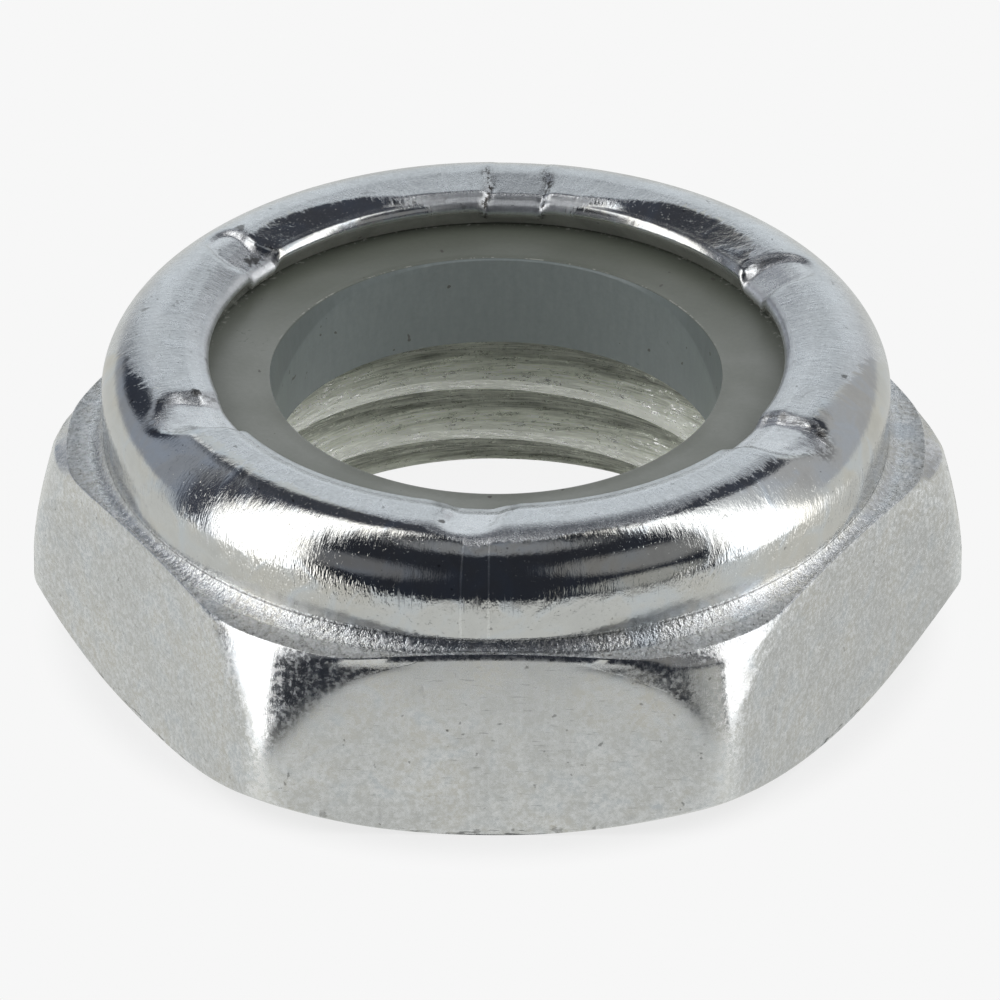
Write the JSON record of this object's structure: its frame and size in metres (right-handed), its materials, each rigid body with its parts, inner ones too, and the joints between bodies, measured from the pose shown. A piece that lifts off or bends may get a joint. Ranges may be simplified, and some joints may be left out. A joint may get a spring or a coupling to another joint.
{
  "type": "nylon insert lock nut",
  "caption": "Low hexagon lock nut with a rolled collar that holds a nylon ring over a fine tapped thread.",
  "frame": {"origin": "centre of the bearing face, on the thread's axis", "axes": "+Z along the thread from the bearing face to the crimped collar; two flats face -Y and +Y, two corners point along -X and +X"},
  "size_m": [0.0196, 0.017, 0.0068],
  "materials": {
    "zinc_plated_steel": "bright zinc plate, drawn streaks on the collar, mottled flats",
    "nylon": "smooth grey nylon, slightly waxy"
  },
  "bodies": {
    "root": {"nut_body": "zinc_plated_steel", "nylon_insert": "nylon"}
  },
  "joints": []
}
